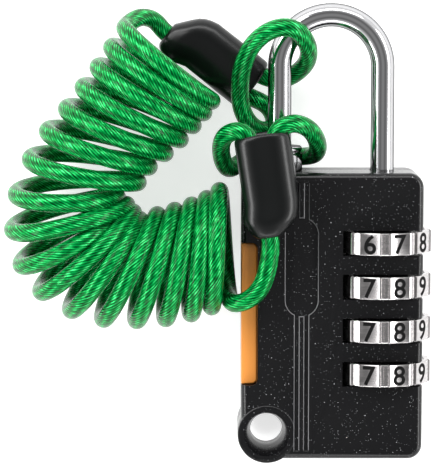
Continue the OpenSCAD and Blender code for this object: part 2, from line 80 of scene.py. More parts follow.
AXIS = DIAL_R
BACK = DIAL_BACK
SEAM = BACK + COVER_T
FRONT = BACK + BODY_T
BAR_Z = FRONT - BAR_SINK
ARCH_R = (LONG - SHORT) / 2
ARCH_U = (LONG + SHORT) / 2
ARCH_V = ARCH_TOP - ARCH_R - ROD
DIAL_V = {k: DIAL_V0 + (4 - k) * DIAL_PITCH for k in (1, 2, 3, 4)}
ORG = np.array([-(LONG + DIAL_R + LUG - LUG_R) / 2, -(ARCH_TOP + LUG - LUG_R) / 2, 0.0])

# where cutting tools end, outside the body
BELOW, ABOVE, LEFT = -2.0, 17.0, -1.0
WINDOW_RIGHT, WINDOW_TOP = 36.0, 20.0


# ---- mesh helpers ---------------------------------------------------------------------------------


def to_m(points):
    """Lock millimetres to metres of the shared frame."""
    return (np.asarray(points, float).reshape(-1, 3) + ORG) * MM


def soften(ob, angle):
    """Smooth shading, sharp only where faces meet at more than angle degrees."""
    me = ob.data
    me.polygons.foreach_set("use_smooth", [True] * len(me.polygons))
    me.set_sharp_from_angle(angle=math.radians(angle))


def make(name, points, faces, mats=(), angle=35):
    """A mesh object from points in lock millimetres."""
    me = bpy.data.meshes.new(name)
    me.from_pydata([tuple(p) for p in to_m(points)], [], [tuple(f) for f in faces])
    me.update()
    ob = bpy.data.objects.new(name, me)
    bpy.context.scene.collection.objects.link(ob)
    for m in mats:
        me.materials.append(m)
    soften(ob, angle)
    return ob


def outward(ob):
    """Normals to the outside."""
    bm = bmesh.new()
    bm.from_mesh(ob.data)
    bmesh.ops.recalc_face_normals(bm, faces=bm.faces)
    bm.to_mesh(ob.data)
    bm.free()
    return ob


def bake(ob):
    """Applies the modifiers of ob."""
    dg = bpy.context.evaluated_depsgraph_get()
    dg.update()
    me = bpy.data.meshes.new_from_object(ob.evaluated_get(dg))
    ob.modifiers.clear()
    ob.data = me


def repaint(ob, mat):
    """One material for the whole of ob."""
    ob.data.materials.clear()
    ob.data.materials.append(mat)


def bevel(ob, width):
    """Narrow round edges all over ob."""
    m = ob.modifiers.new("edge", "BEVEL")
    m.width = width * MM
    m.segments = 2
    m.limit_method = "ANGLE"
    m.angle_limit = math.radians(35)
    m.harden_normals = False
    bake(ob)


def cut(ob, tools, operation="DIFFERENCE"):
    """Takes the tools out of ob, or adds them, and removes them."""
    box = bpy.data.collections.new("tools")
    for t in tools:
        box.objects.link(outward(t))
    m = ob.modifiers.new("cut", "BOOLEAN")
    m.operation = operation
    m.operand_type = "COLLECTION"
    m.collection = box
    m.solver = "EXACT"
    bake(ob)
    for t in tools:
        bpy.data.objects.remove(t)
    bpy.data.collections.remove(box)


def skin(name, rings, mats=(), angle=35, around=False):
    """Skin over equal rings of points, with flat ends or, if around, back to the first ring."""
    n, m = len(rings[0]), len(rings)
    faces = []
    for k in range(m if around else m - 1):
        here, there = k * n, (k + 1) % m * n
        for i in range(n):
            j = (i + 1) % n
            faces.append((here + i, here + j, there + j, there + i))
    if not around:
        faces.append(tuple(range(n - 1, -1, -1)))
        faces.append(tuple((m - 1) * n + i for i in range(n)))
    return make(name, np.concatenate(rings), faces, mats, angle)


def turned(name, profile, centre, axis, mats=(), n=128, angle=35, around=False):
    """Turned piece: profile of (radius, place along the axis)."""
    a = np.linspace(0, 2 * np.pi, n, endpoint=False)
    x, y, z = centre
    rings = []
    for r, h in profile:
        if axis == "Z":
            rings.append(np.c_[x + r * np.cos(a), y + r * np.sin(a), np.full(n, h)])
        elif axis == "Y":
            rings.append(np.c_[x + r * np.sin(a), np.full(n, h), z + r * np.cos(a)])
        else:
            rings.append(np.c_[np.full(n, h), y + r * np.cos(a), z + r * np.sin(a)])
    return skin(name, rings, mats, angle, around)


def rod(centre, axis, a, b, r, n=96):
    """A cylinder from a to b along an axis, for cutting."""
    return turned("tool", [(r, a), (r, b)], centre, axis, n=n)


def block(lo, hi):
    """A box between two corners, for cutting."""
    (a, b, c), (d, e, f) = lo, hi
    points = [(a, b, c), (d, b, c), (d, e, c), (a, e, c), (a, b, f), (d, b, f), (d, e, f), (a, e, f)]
    faces = [(0, 3, 2, 1), (4, 5, 6, 7), (0, 1, 5, 4), (1, 2, 6, 5), (2, 3, 7, 6), (3, 0, 4, 7)]
    return make("tool", points, faces)


def corners(arcs, n):
    """Outline of four rounded corners; each is (centre u, centre v, radius, start angle)."""
    out = []
    for x, y, r, start in arcs:
        for a in np.radians(np.linspace(start, start + 90, n + 1)):
            out.append((x + r * math.cos(a), y + r * math.sin(a)))
    return np.array(out)


def rounded(lo, hi, r, n=12):
    """Rectangle between two corners, all four rounded by r."""
    (a, b), (c, d) = lo, hi
    arcs = [(a + r, b + r, r, 180), (c - r, b + r, r, 270), (c - r, d - r, r, 0), (a + r, d - r, r, 90)]
    return corners(arcs, n)


def at_height(outline, z):
    """The outline's points at one height."""
    return np.c_[outline, np.full(len(outline), z)]


def rounding(face, r, n, side=1):
    """(inset, height) along a rounded edge up to a top face, or with side=-1 down to a bottom one."""
    a = np.radians(np.linspace(0, 90, n))
    return [(r * (1 - math.cos(t)), face - side * r + side * r * math.sin(t)) for t in a]


# ---- materials ------------------------------------------------------------------------------------


class Shader:
    """A Principled material with small helpers for its texture nodes."""

    def __init__(self, name, color, rough, metal=0.0, coat=0.0, coat_rough=0.05, specular=0.5):
        self.mat = bpy.data.materials.new(name)
        self.mat.use_nodes = True
        self.tree = self.mat.node_tree
        self.bsdf = self.tree.nodes["Principled BSDF"]
        self.set("Base Color", (*color, 1.0))
        self.set("Roughness", rough)
        self.set("Metallic", metal)
        self.set("Coat Weight", coat)
        self.set("Coat Roughness", coat_rough)
        self.set("Specular IOR Level", specular)
        self.mat.diffuse_color = (*color, 1.0)

    def set(self, socket, value):
        self.bsdf.inputs[socket].default_value = value

    def link(self, a, b):
        self.tree.links.new(a, b)

    def node(self, kind, **props):
        n = self.tree.nodes.new(kind)
        for k, v in props.items():
            setattr(n, k, v)
        return n

    def coords(self, output="Object"):
        return self.node("ShaderNodeTexCoord").outputs[output]

    def math(self, op, a, b=0.0):
        n = self.node("ShaderNodeMath", operation=op)
        for socket, v in zip(n.inputs, (a, b)):
            if isinstance(v, (int, float)):
                socket.default_value = v
            else:
                self.link(v, socket)
        return n.outputs[0]

    def noise(self, vector, scale, detail=3.0, rough=0.5):
        n = self.node("ShaderNodeTexNoise")
        n.inputs["Scale"].default_value = scale
        n.inputs["Detail"].default_value = detail
        n.inputs["Roughness"].default_value = rough
        self.link(vector, n.inputs["Vector"])
        return n.outputs["Fac"]

    def stretch(self, vector, scale):
        n = self.node("ShaderNodeMapping")
        n.inputs["Scale"].default_value = scale
        self.link(vector, n.inputs["Vector"])
        return n.outputs["Vector"]

    def ramp(self, fac, stops):
        n = self.node("ShaderNodeValToRGB")
        fill_ramp(n.color_ramp, stops)
        self.link(fac, n.inputs["Fac"])
        return n.outputs["Color"]

    def bump(self, height, strength, distance):
        n = self.node("ShaderNodeBump")
        n.inputs["Strength"].default_value = strength
        n.inputs["Distance"].default_value = distance
        self.link(height, n.inputs["Height"])
        self.link(n.outputs["Normal"], self.bsdf.inputs["Normal"])


def fill_ramp(ramp, stops):
    """Sets the stops of a colour ramp; each is (place, colour)."""
    first, last = ramp.elements
    first.position, first.color = stops[0][0], (*stops[0][1], 1)
    last.position, last.color = stops[-1][0], (*stops[-1][1], 1)
    for place, color in stops[1:-1]:
        ramp.elements.new(place).color = (*color, 1)


def speckled_paint():
    """Black paint with fine light specks of two sizes."""
    black, speck = (0.0045, 0.0045, 0.005), (0.5, 0.51, 0.53)
    s = Shader("black_paint", black, 0.2, specular=0.3)
    where = s.coords()
    total = None
    for scale, size, share, gain in ((1300, 0.09, 0.5, 0.5), (2900, 0.15, 0.6, 0.25)):
        v = s.node("ShaderNodeTexVoronoi")
        v.inputs["Scale"].default_value = scale
        s.link(where, v.inputs["Vector"])
        near = s.math("LESS_THAN", v.outputs["Distance"], size)
        cell = s.node("ShaderNodeSeparateColor")
        s.link(v.outputs["Color"], cell.inputs["Color"])
        chosen = s.math("GREATER_THAN", cell.outputs["Red"], 1 - share)
        lit = s.math("MULTIPLY", s.math("MULTIPLY", near, chosen), cell.outputs["Green"])
        lit = s.math("MULTIPLY", lit, gain)
        total = lit if total is None else s.math("ADD", total, lit)
    s.link(s.ramp(total, [(0.0, black), (0.5, speck)]), s.bsdf.inputs["Base Color"])
    s.bump(s.noise(where, 1400, 2.0), 0.12, 0.0001)
    return s.mat


def brushed_dial():
    """Metal with fine lines round the dial."""
    color = (0.56, 0.54, 0.54)
    s = Shader("dial_metal", color, 0.2, metal=1.0)
    grain = s.noise(s.stretch(s.coords(), (300, 5000, 300)), 1.0, 4.0, 0.6)
    shade = s.ramp(grain, [(0.3, tuple(c * 0.78 for c in color)), (0.7, color)])
    s.link(shade, s.bsdf.inputs["Base Color"])
    s.bump(grain, 0.2, 0.00002)
    return s.mat


def cable_green():
    """Clear green vinyl over twisted wires: the twist follows the mesh's own length and turn. The wires'
    colour is darker in their grooves and lighter on their crests: painted shade and painted highlight.
    """
    s = Shader("cable_green", (0.0, 0.3, 0.06), 0.25, metal=0.25, coat=0.25, coat_rough=0.1, specular=0.15)
    s.set("Coat IOR", 1.35)
    s.set("Specular Tint", (0.02, 0.2, 0.05, 1.0))
    uv = s.node("ShaderNodeSeparateXYZ")
    s.link(s.coords("UV"), uv.inputs[0])
    along, turn = uv.outputs[0], uv.outputs[1]

    def twist(count, lay):
        """Place in the cycle for count wires round the cable, one cycle every lay millimetres along it."""
        return s.math("ADD", s.math("MULTIPLY", turn, count), s.math("MULTIPLY", along, 1 / lay))

    def wave(phase, height):
        return s.math("MULTIPLY", s.math("SINE", s.math("MULTIPLY", phase, 2 * math.pi)), height)

    wires = twist(-20.0, 0.8)
    grid = s.node("ShaderNodeCombineXYZ")
    s.link(s.math("MULTIPLY", along, 0.8), grid.inputs[0])
    s.link(s.math("MULTIPLY", wires, 1.2), grid.inputs[1])
    sparkle = s.math("SUBTRACT", s.noise(grid.outputs[0], 1.0, 2.0, 0.6), 0.5)
    height = s.math("ADD", wave(wires, 0.3), wave(twist(7.0, 13.0), 0.2))
    height = s.math("ADD", height, s.math("MULTIPLY", sparkle, 2.0))
    # colour follows the wires' height: the dark stops are painted shade in the grooves between wires, and the
    # bright top stop is a painted highlight on their crests, laid over the real pattern of the twisted wires
    wire_tones_and_painted_light = [(0.15, (0.0, 0.012, 0.003)), (0.42, (0.0, 0.1, 0.018)), (0.64, (0.0, 0.28, 0.05)),
              (0.92, (0.07, 0.85, 0.25))]
    fac = s.math("ADD", s.math("MULTIPLY", height, 0.5), 0.5)
    s.link(s.ramp(fac, wire_tones_and_painted_light), s.bsdf.inputs["Base Color"])
    s.bump(height, 0.45, 0.00012)
    return s.mat


def plain(name, color, rough, grain=0.0, edge=1.0, **more):
    """One colour; edge below 1 darkens a metal where it is seen at a grazing angle."""
    s = Shader(name, color, rough, **more)
    s.set("Specular Tint", (edge, edge, edge, 1.0))
    if grain:
        s.bump(s.noise(s.coords(), 900), grain, 0.00005)
    return s.mat


def floor_white():
    """White that glows a little, so that shadows stay faint."""
    s = Shader("floor_white", (0.6, 0.6, 0.6), 0.8, specular=0.0)
    s.set("Emission Color", (1.0, 1.0, 1.0, 1.0))
    s.set("Emission Strength", 0.7)
    return s.mat


PAINT = speckled_paint()
# lighter grey for the chamfers of panel and grooves: a painted highlight, not the paint's own colour
EDGE_HIGHLIGHT_PAINT = plain("painted_edge_highlight", (0.12, 0.12, 0.125), 0.3)
CHROME = plain("chrome", (0.5, 0.5, 0.51), 0.1, metal=1.0, edge=0.0)
DIAL = brushed_dial()
INK = plain("digit_black", (0.003, 0.003, 0.003), 0.7, specular=0.1)
ORANGE = plain("orange_plastic", (0.62, 0.23, 0.04), 0.38, coat=0.15, coat_rough=0.3, grain=0.1)
VINYL = plain("black_vinyl", (0.003, 0.0035, 0.0035), 0.25, specular=0.3, grain=0.04)
GREEN = cable_green()


# ---- shells ---------------------------------------------------------------------------------------


def body_outline(inset):
    """The body seen from the front; the lug covers its lower left corner."""
    r, big = BODY_R, LUG_CORNER_R
    return corners(
        [
            (big, big, big - inset, 180),
            (BODY_W - r, r, r - inset, 270),
            (BODY_W - r, BODY_H - r, r - inset, 0),
            (r, BODY_H - r, r - inset, 90),
        ],
        12,
    )


def lug_bore():
    """Tool for the lug's hole, countersunk at both faces."""
    below, above = LUG_FLARES
    straight = [(LUG_HOLE_R, BACK + LUG_SINK), (LUG_HOLE_R, FRONT + LUG_RISE - LUG_SINK)]
    return turned("tool", [below, *straight, above], (LUG, LUG, 0), "Z", n=96)


def inner_spaces(in_front):
    """Tools for the windows, bores and pockets that both shells share."""
    t = [lug_bore()]
    for v in DIAL_V.values():
        t.append(block((WINDOW_U, v - WINDOW_H / 2, BELOW), (WINDOW_RIGHT, v + WINDOW_H / 2, WINDOW_TOP)))
        half = WINDOW_H / 2 - 0.01
        t.append(rod((LONG, 0, AXIS), "Y", v - half, v + half, DIAL_R + WINDOW_GAP, 160))
    top, leg = BODY_H + 2.8, ROD + ROD_GAP
    spans = [
        (LONG, 1.8, LONG_FOOT, leg + 0.2),
        (LONG, LONG_FOOT - 0.1, HUB_V[0], RIM_R),
        (LONG, *HUB_V, HUB_R + 0.05),
        (LONG, HUB_V[1] - 0.05, 42.7, RIM_R),
        (LONG, 42.6, top, leg),
        (SHORT, BODY_H - SHORT_IN - 0.3, top, leg),
        (SHORT, BODY_H - STUB, top, STUB_R),
    ]
    for u, a, b, r in spans:
        t.append(rod((u, 0, AXIS), "Y", a, b, r))
        if in_front:
            t.append(block((u - r, a, SEAM - 1), (u + r, b, AXIS)))
    return t


def recess(lo, hi, r, n):
    """Tool for a shallow recess with a chamfered edge at the face."""
    rings = []
    steps = [(0, -PANEL_DEPTH), (0, -0.13), (PANEL_CHAMFER, 0.02), (PANEL_CHAMFER, ABOVE - FRONT)]
    for w, z in steps:
        outline = rounded((lo[0] - w, lo[1] - w), (hi[0] + w, hi[1] + w), r + w, n)
        rings.append(at_height(outline, FRONT + z))
    return skin("tool", rings)


def decoration_tools():
    """Pill panel, and two grooves below and above it."""
    half, (bottom, top) = PANEL_W / 2, PANEL_V
    t = [recess((PANEL_U - half, bottom), (PANEL_U + half, top), half, 16)]
    for u in (PANEL_U - GROOVE_OFF, PANEL_U + GROOVE_OFF):
        a, b = u - GROOVE_W / 2, u + GROOVE_W / 2
        t.append(recess((a, GROOVE_END), (b, bottom + 0.85), 0.05, 2))
        t.append(recess((a, top - 0.65), (b, BODY_H - GROOVE_END), 0.05, 2))
    return t


def bar_tools():
    """Opening of the release bar, and the room for its flange, latch and springs."""
    (v0, v1), (hook0, hook1), gap, low_z = BAR_V, HOOK_V, BAR_GAP, SEAM - 1
    slot_v, flange = (v0 - gap, v1 + gap), BAR_W + BAR_FLANGE - 0.15
    room = BAR_W + 2 * BAR_FLANGE + BAR_TRAVEL + 0.2
    mouth = rounded((LEFT - 1, slot_v[0]), (BAR_W + gap, slot_v[1]), 1.0)
    t = [
        block((LEFT, slot_v[0], low_z), (BAR_W, slot_v[1], BAR_Z + gap)),
        skin("tool", [at_height(mouth, BAR_Z - 0.05), at_height(mouth, ABOVE)]),
        block((BAR_W - gap, v0 - 1.1, low_z), (room, v1 + 1.1, BAR_Z + gap)),
        block((flange, v1, AXIS + 2.2), (room, hook1 + gap, BAR_Z - gap)),
        block((flange, hook0 - gap, low_z), (HOOK_U + BAR_TRAVEL + 0.2, hook1 + gap, BAR_Z - gap)),
    ]
    return t + [rod((0, v, 8.4), "X", room - 0.05, 9.0, 1.2, 48) for v in BAR_SPRING_V]


def leaf_tool():
    """Pocket of the detent leaf."""
    u = LONG - DIAL_R - 2
    return block((u, 10, SEAM - 1), (u + 1.8, 42, SEAM + 5.65))


def shell(name, rings, lug, tools):
    """Body outline lofted over (inset, height), with the lug's ring and everything cut out."""
    ob = outward(skin(name, [at_height(body_outline(i), z) for i, z in rings], [PAINT]))
    cut(ob, [turned("tool", lug, (LUG, LUG, 0), "Z")], "UNION")
    cut(ob, tools)
    repaint(ob, PAINT)
    bevel(ob, 0.14)
    soften(ob, 40)
    return ob


def paint_edge_highlights(ob):
    """The narrow chamfers of panel and grooves get a lighter grey: a painted highlight along their edges."""
    ob.data.materials.append(EDGE_HIGHLIGHT_PAINT)
    for face in ob.data.polygons:
        u, v, z = np.array(face.center) / MM - ORG
        chamfer = FRONT - 0.24 < z < FRONT - 0.005 and 0.2 < face.normal.z < 0.96
        # these chamfer faces take the lighter grey of the painted highlight
        if chamfer and abs(u - PANEL_U) < 3 and 1.9 < v < BODY_H - 1.9:
            face.material_index = 1


def front_shell():
    """Front half of the body, with the opening of the release bar and the decoration."""
    rim, top = [(0.1, SEAM), (0, SEAM + 0.1)], FRONT + LUG_RISE
    r = LUG_R
    lug = [(r - 0.08, SEAM + 0.01), (r, SEAM + 0.1), (r, top - 0.25), (r - 0.05, top - 0.1), (r - 0.2, top)]
    tools = inner_spaces(True) + decoration_tools() + bar_tools() + [leaf_tool()]
    ob = shell("front_shell_look", rim + rounding(FRONT, FRONT_EDGE, 11), lug, tools)
    paint_edge_highlights(ob)
    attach(ob, "case")
    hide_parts("front_shell")


def back_cover():
    """Back half of the body, with the rivets' counterbores."""
    rim, r = [(0, SEAM - 0.1), (0.1, SEAM)], LUG_R
    lug = [(r - 0.3, BACK - 0.01), (r, BACK + 0.3), (r, SEAM - 0.1), (r - 0.08, SEAM - 0.01)]
    sinks = [rod((u, v, 0), "Z", 0, BACK + RIVET_HEAD, RIVET_HEAD_R, 48) for u, v in RIVETS]
    edge = rounding(BACK, BACK_EDGE, 9, side=-1)[::-1]
    ob = shell("back_cover_look", edge + rim, lug, inner_spaces(False) + sinks)
    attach(ob, "case")
    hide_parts("back_cover")


front_shell()
back_cover()

# ---- collar and shackle ---------------------------------------------------------------------------


def shackle_collar():
    """Collar with a groove near its top; profile of (radius, height over the body)."""
    bore, r = ROD + ROD_GAP, COLLAR_R
    profile = [
        (bore, -STUB), (STUB_R, -STUB), (STUB_R, 0), (r - 0.1, 0), (r, 0.12),
        (r, 2.85), (r - 0.07, 2.98), (r - 0.28, 3.06), (r - 0.32, 3.2), (r - 0.28, 3.34), (r - 0.12, 3.42),
        (r - 0.08, 3.52), (r - 0.08, 3.95), (r - 0.16, 4.16), (r - 0.35, 4.28), (r - 0.6, 4.3),
        (bore + 0.14, 4.3), (bore, 4.15),
    ]
    profile = [(radius, BODY_H + h) for radius, h in profile]
    centre = (SHORT, 0, AXIS)
    ob = outward(turned("collar_look", profile, centre, "Y", [CHROME], n=160, angle=40, around=True))
    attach(ob, "case")
    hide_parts("shackle_collar")


def tube(name, line, radius, sides, mats, uv=False):
    """Round tube along a line, without twist. radius may be one value or one for each point."""
    p = np.asarray(line, float)
    d = np.gradient(p, axis=0)
    d /= np.linalg.norm(d, axis=1)[:, None]
    side = np.cross(d[0], (0.0, 0.0, 1.0))
    rr = np.broadcast_to(radius, len(p))
    a = np.linspace(0, 2 * np.pi, sides, endpoint=False)
    rings = []
    for k in range(len(p)):
        side = side - side.dot(d[k]) * d[k]
        side /= np.linalg.norm(side)
        up = np.cross(d[k], side)
        rings.append(p[k] + rr[k] * (np.cos(a)[:, None] * side + np.sin(a)[:, None] * up))
    ob = skin(name, rings, mats, 60)
    if uv:
        add_run(ob, p, sides)
    return ob


def add_run(ob, p, sides):
    """Texture coordinates of a tube: millimetres along it, share of a turn round it."""
    run = np.r_[0, np.cumsum(np.linalg.norm(np.diff(p, axis=0), axis=1))]
    flat = np.zeros((len(ob.data.loops), 2))
    quads = np.arange((len(p) - 1) * sides)
    k, i = np.divmod(quads, sides)
    for corner, (dk, di) in enumerate(((0, 0), (0, 1), (1, 1), (1, 0))):
        flat[quads * 4 + corner] = np.c_[run[k + dk], (i + di) / sides]
    ob.data.uv_layers.new(name="run").data.foreach_set("uv", flat.ravel())


def shackle():
    """One bent rod; the short leg's end is rounded and has the latch notch."""
    foot = BODY_H - SHORT_IN
    a = np.radians(np.linspace(180, 0, 73))
    arch = np.c_[ARCH_U + ARCH_R * np.cos(a), ARCH_V + ARCH_R * np.sin(a), np.full(len(a), AXIS)]
    tip = [(SHORT, foot + d, AXIS) for d in (0, 0.03, 0.15, 0.4)]
    short_leg = [(SHORT, v, AXIS) for v in (46, 50, 56, 62, ARCH_V - 1)]
    long_leg = [(LONG, v, AXIS) for v in (ARCH_V - 1, 60, 50, 40, 30, 20, 12, LONG_FOOT)]
    line = np.array(tip + short_leg + [tuple(q) for q in arch] + long_leg)
    radius = np.full(len(line), ROD)
    radius[:3] = ROD - 0.4, ROD - 0.34, ROD - 0.18
    ob = outward(tube("shackle_look", line, radius, 64, [CHROME]))
    u, v = SHORT + ROD - NOTCH, foot + 0.7
    cut(ob, [block((u, v, AXIS - 4.5), (u + 1.5, v + NOTCH_H, AXIS + 4.5))])
    repaint(ob, CHROME)
    soften(ob, 40)
    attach(ob, "shackle_body")
    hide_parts("shackle")


shackle_collar()
shackle()

# ---- release bar ----------------------------------------------------------------------------------


def bar_outline(inset):
    """Bar seen from the front: small corners at the left, larger ones toward the body's middle."""
    (v0, v1), small, large = BAR_V, 0.25, 0.9
    left, right = small - inset * 0.5, large - inset
    return corners(
        [
            (small, v0 + small, left, 180),
            (BAR_W - large, v0 + large, right, 270),
            (BAR_W - large, v1 - large, right, 0),
            (small, v1 - small, left, 90),
        ],
        8,
    )


def release_bar():
    """Orange bar with a wider flange that stays inside the body."""
    bottom = SEAM + 0.1
    rings = [at_height(bar_outline(i), z) for i, z in [(0, bottom)] + rounding(BAR_Z, 0.35, 7)]
    ob = outward(skin("release_bar_look", rings, [ORANGE]))
    v0, v1 = BAR_V
    flange = block((BAR_W - 0.25, v0 - 1, bottom), (BAR_W + BAR_FLANGE, v1 + 1, BAR_Z - 0.4))
    cut(ob, [flange], "UNION")
    repaint(ob, ORANGE)
    soften(ob, 40)
    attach(ob, "bar_body")
    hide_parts("release_bar")


release_bar()

# ---- dials ----------------------------------------------------------------------------------------

# from the middle of a digit's face to the next groove: (degrees, depth under the rim)
HALF_TOOTH = [(11.4, 0.1), (11.6, 0.08), (12.0, 0), (13.2, 0), (13.6, 0.1), (13.7, 0.32), (14.1, 0.4),
              (16.7, 0.4), (17.2, 0.28)]
FACE_R = (DIAL_R - 0.1) * math.cos(math.radians(11.4))
STEP = 360 // DIGITS
DIGIT_SIZE, DIGIT_SWELL, DIGIT_T, DIGIT_LIFT = 4.6, 0.08, 0.01, 0.012


def dial_rim():
    """Points round the rim as (angle, radius)."""
    tooth = [(-STEP / 2, 0.28)] + [(-a, d) for a, d in reversed(HALF_TOOTH)] + HALF_TOOTH
    return [(math.radians(a + STEP * k + FACE_AT), DIAL_R - d) for k in range(DIGITS) for a, d in tooth]


def dial(k, v):
    """Dial k, centred at height v: toothed rim, recessed sides and a bore."""
    rim, half = dial_rim(), DIAL_W / 2
    # outside from one flat side to the other, as (inset, height), then back along the bore
    edge = [(0.18, half), (0.06, half - 0.04), (0, half - 0.16)]
    side = [(7.5, half), (7.4, half - 0.15), (5.2, half - 0.15), (5.1, half), (HUB_R, half)]
    outside = [[(r - i, a, -h) for a, r in rim] for i, h in edge]
    outside += [[(r - i, a, h) for a, r in rim] for i, h in edge[::-1]]
    inside = [[(r, a, h) for a, _ in rim] for r, h in side]
    inside += [[(r, a, -h) for a, _ in rim] for r, h in side[::-1]]
    rings = [
        np.array([(LONG + r * math.sin(a), v + h, AXIS + r * math.cos(a)) for r, a, h in ring])
        for ring in outside + inside
    ]
    ob = outward(skin(f"dial_{k}_look", rings, [DIAL], 25, around=True))
    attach(ob, f"dial_body_{k}")
    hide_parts(f"dial_{k}")


def flat_text(text):
    """Mesh of one digit lying in the xy plane, in metres."""
    cu = bpy.data.curves.new("digit", "FONT")
    cu.body = text
    cu.align_x, cu.align_y = "CENTER", "CENTER"
    cu.size = DIGIT_SIZE * MM
    cu.offset = DIGIT_SWELL * MM
    cu.extrude = DIGIT_T * MM
    cu.resolution_u = 6
    ob = bpy.data.objects.new("digit", cu)
    bpy.context.scene.collection.objects.link(ob)
    bpy.context.view_layer.update()
    me = bpy.data.meshes.new_from_object(ob.evaluated_get(bpy.context.evaluated_depsgraph_get()))
    bpy.data.objects.remove(ob)
    return me


def digit(text, v, degrees):
    """One black digit on its flat face."""
    me = flat_text(text)
    co = np.array([p.co for p in me.vertices])
    co[:, :2] -= (co[:, :2].min(0) + co[:, :2].max(0)) / 2
    a = math.radians(degrees)
    away = np.array((math.sin(a), 0, math.cos(a)))
    across = np.array((math.cos(a), 0, -math.sin(a)))
    out = to_m([(LONG, v, AXIS)])[0] + np.outer(co[:, 0], across) + np.outer(co[:, 1], (0, 1, 0))
    out += np.outer(co[:, 2] + (FACE_R + DIGIT_LIFT) * MM, away)
    me.vertices.foreach_set("co", out.ravel())
    me.update()
    me.materials.clear()
    me.materials.append(INK)
    ob = bpy.data.objects.new("digit", me)
    bpy.context.scene.collection.objects.link(ob)
    return ob


def join(name, parts):
    """Makes one object of several."""
    with bpy.context.temp_override(
        active_object=parts[0], selected_objects=parts, selected_editable_objects=parts
    ):
        bpy.ops.object.join()
    parts[0].name = name
    return parts[0]


for k, v in DIAL_V.items():
    dial(k, v)
    first = 6 if k == 1 else 7
    marks = join(f"digits_{k}", [digit(str((first + i) % 10), v, FACE_AT + STEP * i) for i in range(DIGITS)])
    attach(marks, f"dial_body_{k}")

# ---- sleeves --------------------------------------------------------------------------------------

# mouth's middle, turn of the sleeve's length, and how far the single cable leaves beside the middle
SLEEVES = {
    "front": dict(mouth=(3.4, 55.8, 18.15), turn=-81.5, lean=-1.1),
    "rear": dict(mouth=(1.9, 63.6, 3.35), turn=141.5, lean=2.2),
}
SLEEVE_A, SLEEVE_B = 4.75, 3.25
SLEEVE_LEN = 17
# (place from the mouth, half width, half thickness) outside to the tip, then back inside
SLEEVE_SHAPE = [
    (0.0, 4.2, 2.75), (0.1, 4.45, 3.0), (0.35, 4.68, 3.18),
    (0.8, SLEEVE_A, SLEEVE_B), (4.0, SLEEVE_A, SLEEVE_B), (8.0, 4.7, 3.2),
    (11.0, 4.68, 3.12), (12.4, 4.75, 3.15), (13.4, 4.75, 3.2), (14.2, 4.55, 3.15),
    (14.9, 4.1, 3.0), (15.6, 3.55, 2.8), (16.2, 3.05, 2.62), (16.6, 2.65, 2.42), (16.85, 2.35, 2.2),
    (16.97, 2.1, 2.0), (SLEEVE_LEN, 1.85, 1.8),
    (16.9, 1.62, 1.62), (14.0, 2.1, 1.75), (10.4, 3.8, 2.25), (0.9, 3.85, 2.28), (0.15, 3.95, 2.4),
]


def in_sleeve(which, x, y, z=0.0):
    """A point x along the sleeve from its mouth, y across it."""
    m, a = SLEEVES[which]["mouth"], math.radians(SLEEVES[which]["turn"])
    return (m[0] + x * math.cos(a) - y * math.sin(a), m[1] + x * math.sin(a) + y * math.cos(a), m[2] + z)


def squared(c):
    """Bends a circle's cosine or sine toward a stadium's."""
    return math.copysign(abs(c) ** 0.85, c)


def sleeve(which):
    """Heat-shrunk oval sleeve: wide mouth bulged in the middle, shoulders drawn in to the single cable."""
    lean = SLEEVES[which]["lean"]
    rings = []
    for x, a, b in SLEEVE_SHAPE:
        slide = lean * min(max((x - 11.5) / 5, 0), 1)
        ring = []
        for t in np.linspace(0, 2 * np.pi, 96, endpoint=False):
            y, z = a * squared(math.cos(t)), b * squared(math.sin(t))
            bulge = 0.45 * (1 - (y / SLEEVE_A) ** 2) * max(1 - x / 2, 0)
            ring.append(in_sleeve(which, x - bulge, y + slide, z))
        rings.append(np.array(ring))
    ob = outward(skin(f"sleeve_{which}_look", rings, [VINYL], 60, around=True))
    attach(ob, "case")
    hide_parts(f"sleeve_{which}")
    return ob


# ---- cable ----------------------------------------------------------------------------------------

# middle line of the coil, its stations the same number of turns apart: across, up and the turns' angle
COIL_LINE = [
    (-12, 68, -37), (-15.5, 63, -28), (-20, 57.5, -21), (-25.5, 51.5, -11), (-29.5, 43.5, 8),
    (-28.5, 36.5, 34), (-22.5, 33, 59), (-14.5, 33, 76), (-7.5, 34.5, 86), (-2.3, 37, 92),
]
COIL_R, COIL_Z, TURNS = 9.6, 11.25, 17
# loop round the short leg just over the body, and the tail to the coil
FRONT_LOOP = [
    (7, 57.5, 18), (9.1, 57.9, 17.3), (11.3, 56.9, 15.4), (12.7, 55, 12.2), (13.2, 53, 8.6),
    (12.6, 51.6, 4.9), (10.6, 51.1, 2.5),
    (7.6, 51, 1.9), (3.8, 51, 2), (1.2, 50.8, 2.7), (-0.5, 49.9, 4), (-1.9, 49.2, 6),
    (-2.9, 50.3, 8.6), (-3.4, 52.4, 11.4), (-3.3, 54.5, 14.2), (-2.4, 56, 16.6), (-0.8, 56.7, 17.9),
    (0.6, 56.3, 18.2),
]
FRONT_TAIL = [(4.6, 34.2, 18.15), (3.4, 30.4, 18.15), (1.1, 28, 18), (-1.1, 27.3, 16.8)]
# loop round the bend of the shackle, and the tail to the coil
REAR_LOOP = [
    (6.2, 64.4, 2.6), (9.2, 65.4, 3.8), (11.4, 68, 7), (11.1, 71.2, 11.2), (8.7, 73.7, 14), (5.2, 73.5, 14.6),
    (2, 71, 13.6), (0.2, 67, 11.6), (-0.2, 62.6, 9), (0.1, 59.8, 8), (1.2, 57.5, 7), (2.8, 56.1, 6),
    (4.6, 55.8, 4.8), (5.8, 56.7, 3.2), (5.6, 58.5, 2), (4.1, 60.3, 1.9),
]
REAR_TAIL = [(-14.9, 74.8, 3.9), (-17.4, 75.3, 6.6)]
SPREAD = 16  # points of the finished curve for each station of the route


